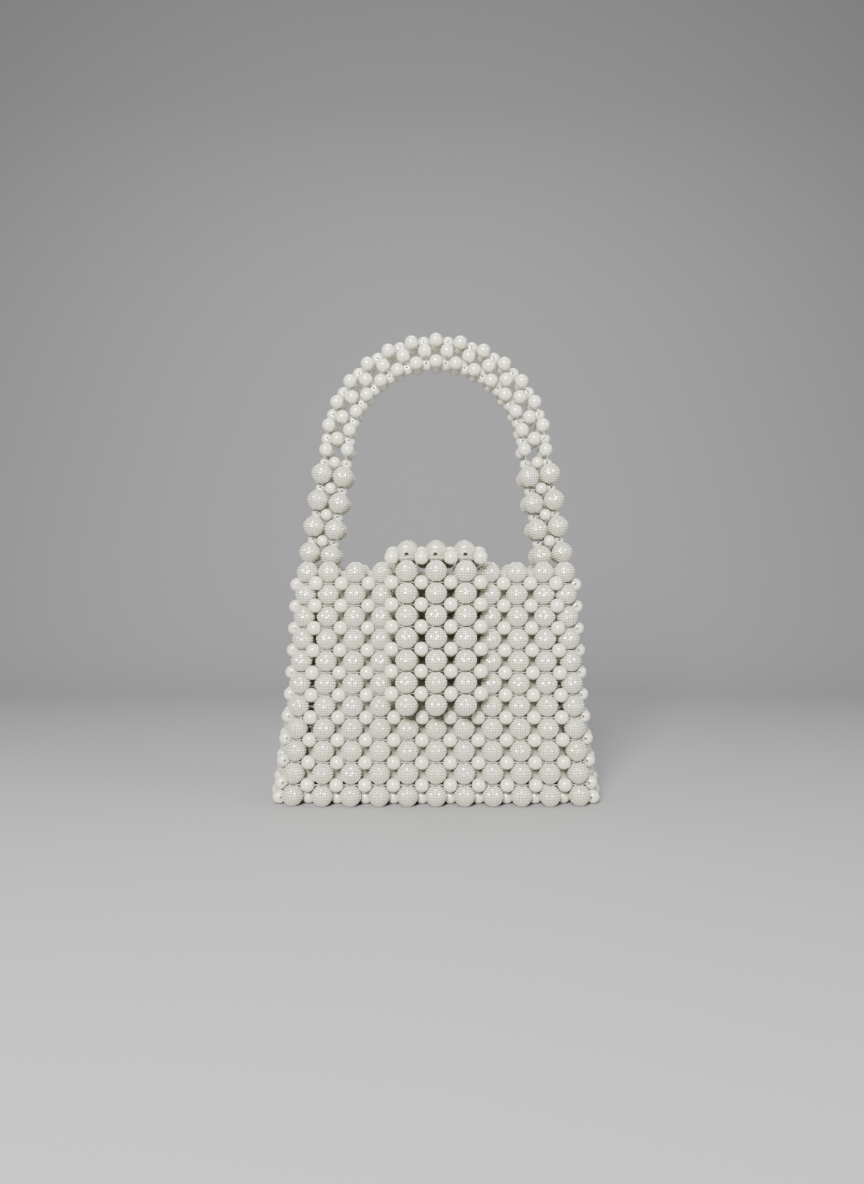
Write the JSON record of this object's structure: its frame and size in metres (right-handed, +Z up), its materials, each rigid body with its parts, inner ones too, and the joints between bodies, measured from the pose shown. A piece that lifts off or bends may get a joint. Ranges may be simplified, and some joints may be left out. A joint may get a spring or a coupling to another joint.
{
  "type": "beaded evening bag",
  "caption": "Small top-handle evening bag woven from studded beads and smooth pearls on clear line, with a front flap, an arched handle and a pale cloth lining.",
  "frame": {"origin": "bottom centre of the bounding box: the middle of the footprint, on the surface that the bag stands on", "axes": "+X to the right seen from the front, +Y to the back, +Z up; the flap side faces -Y"},
  "size_m": [0.1942, 0.0714, 0.2723],
  "materials": {
    "studded_bead": "moulded ivory bead with a grid of small raised squares, satin pearl coat",
    "pearl": "imitation pearl, smooth lustre coat",
    "ring_pearl": "small imitation pearl, smooth lustre coat",
    "clear_line": "clear nylon beading line",
    "lining_cloth": "pale ivory satin lining",
    "hem_cloth": "folded ivory satin hem"
  },
  "bodies": {
    "bag": {"front_studded_beads": "studded_bead", "front_pearls": "pearl", "back_studded_beads": "studded_bead", "back_pearls": "pearl", "left_gusset_studded_beads": "studded_bead", "left_gusset_pearls": "pearl", "right_gusset_studded_beads": "studded_bead", "right_gusset_pearls": "pearl", "base_studded_beads": "studded_bead", "base_pearls": "pearl", "front_column_lines": "clear_line", "back_column_lines": "clear_line", "gusset_column_lines": "clear_line", "level_lines": "clear_line", "base_lines": "clear_line", "lining": "lining_cloth", "lining_hem": "hem_cloth", "flap_hinge_pearls": "pearl", "flap_hinge_line": "clear_line", "left_handle_root_beads": "studded_bead", "right_handle_root_beads": "studded_bead", "handle_root_lines": "clear_line"},
    "low_ring": {"left_low_ring_pearls": "ring_pearl", "right_low_ring_pearls": "ring_pearl", "low_ring_lines": "clear_line"},
    "low_row": {"left_low_row_beads": "studded_bead", "right_low_row_beads": "studded_bead", "low_row_lines": "clear_line"},
    "mid_ring": {"left_mid_ring_pearls": "ring_pearl", "right_mid_ring_pearls": "ring_pearl", "mid_ring_lines": "clear_line"},
    "mid_row": {"left_mid_row_beads": "studded_bead", "right_mid_row_beads": "studded_bead", "mid_row_lines": "clear_line"},
    "high_ring": {"left_high_ring_pearls": "ring_pearl", "right_high_ring_pearls": "ring_pearl", "high_ring_lines": "clear_line"},
    "handle_arch": {"left_top_row_beads": "studded_bead", "right_top_row_beads": "studded_bead", "shoulder_ring_pearls": "ring_pearl", "arch_outer_pearls": "pearl", "arch_inner_pearls": "pearl", "arch_ring_pearls": "pearl", "arch_column_lines": "clear_line", "arch_ring_lines": "clear_line"},
    "flap_top": {"flap_top_studded_beads": "studded_bead", "flap_top_inner_pearls": "pearl", "flap_top_edge_pearls": "pearl", "flap_fold_pearls": "pearl", "flap_top_lines": "clear_line"},
    "flap_front": {"flap_front_studded_beads": "studded_bead", "flap_front_inner_pearls": "pearl", "flap_front_edge_pearls": "pearl", "flap_front_lines": "clear_line"}
  },
  "joints": [
    {"name": "handle_lean", "type": "hinge", "parent": "bag", "child": "low_ring", "pos_m": [0, 0.00516, 0.15055], "axis": [1, 0, 0], "range_deg": [-3, 7]},
    {"name": "handle_lean_2", "type": "hinge", "parent": "low_ring", "child": "low_row", "pos_m": [0, 0.00516, 0.15055], "axis": [1, 0, 0], "range_deg": [-5, 9]},
    {"name": "handle_lean_3", "type": "hinge", "parent": "low_row", "child": "mid_ring", "pos_m": [0, 0.00516, 0.16595], "axis": [1, 0, 0], "range_deg": [-5, 9]},
    {"name": "handle_lean_4", "type": "hinge", "parent": "mid_ring", "child": "mid_row", "pos_m": [0, 0.00516, 0.16595], "axis": [1, 0, 0], "range_deg": [-5, 9]},
    {"name": "handle_lean_5", "type": "hinge", "parent": "mid_row", "child": "high_ring", "pos_m": [0, 0.00516, 0.18135], "axis": [1, 0, 0], "range_deg": [-5, 9]},
    {"name": "handle_lean_6", "type": "hinge", "parent": "high_ring", "child": "handle_arch", "pos_m": [0, 0.00516, 0.18135], "axis": [1, 0, 0], "range_deg": [-5, 9]},
    {"name": "flap_lift", "type": "hinge", "parent": "bag", "child": "flap_top", "pos_m": [0, 0.02466, 0.1391], "axis": [-1, 0, 0], "range_deg": [0, 130]},
    {"name": "flap_fold", "type": "hinge", "parent": "flap_top", "child": "flap_front", "pos_m": [0, -0.02718, 0.13992], "axis": [-1, 0, 0], "range_deg": [0, 50]}
  ],
  "couplings": [
    {"joint": "handle_lean_2", "follows": "handle_lean", "ratio": 1},
    {"joint": "handle_lean_3", "follows": "handle_lean", "ratio": 1},
    {"joint": "handle_lean_4", "follows": "handle_lean", "ratio": 1},
    {"joint": "handle_lean_5", "follows": "handle_lean", "ratio": 1},
    {"joint": "handle_lean_6", "follows": "handle_lean", "ratio": 1}
  ]
}
